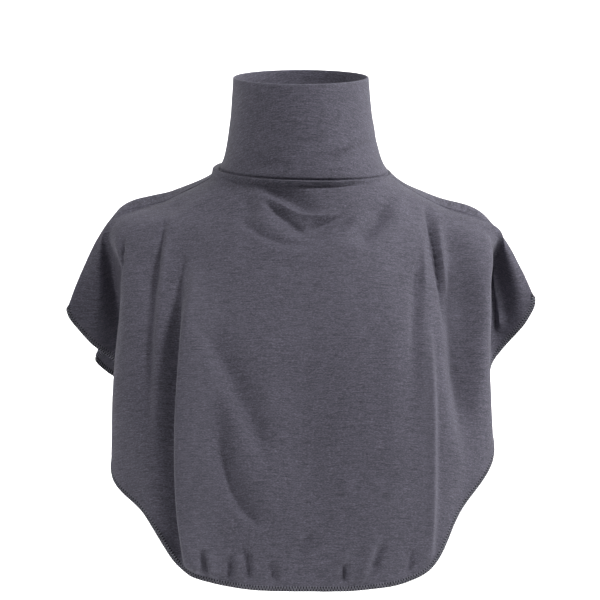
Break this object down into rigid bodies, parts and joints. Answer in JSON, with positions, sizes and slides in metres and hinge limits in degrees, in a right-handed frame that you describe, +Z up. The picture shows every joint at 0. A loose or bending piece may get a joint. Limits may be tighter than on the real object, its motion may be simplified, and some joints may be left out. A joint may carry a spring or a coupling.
{
  "type": "turtleneck neck cover",
  "caption": "Jersey neck cover: a doubled turtleneck collar on a short cape with a long front bib, a shorter back, capped shoulders and an overlocked edge.",
  "frame": {"origin": "middle of the neck seam, where the cover sits on the wearer's neck", "axes": "+Z up along the collar, -Y the wearer's front, +X to the right as seen from the front"},
  "size_m": [0.4028, 0.2155, 0.4227],
  "materials": {
    "jersey": "fine heathered grey knit, soft and matt",
    "inside_seam": "the same jersey, sewn and pressed flat on the inside",
    "overlock_thread": "dense grey overlock stitching over the cut edge"
  },
  "bodies": {
    "root": {"collar": "jersey", "front_panel": "jersey", "back_panel": "jersey", "left_shoulder_seam": "inside_seam", "right_shoulder_seam": "inside_seam", "hem_edging": "overlock_thread"}
  },
  "joints": []
}
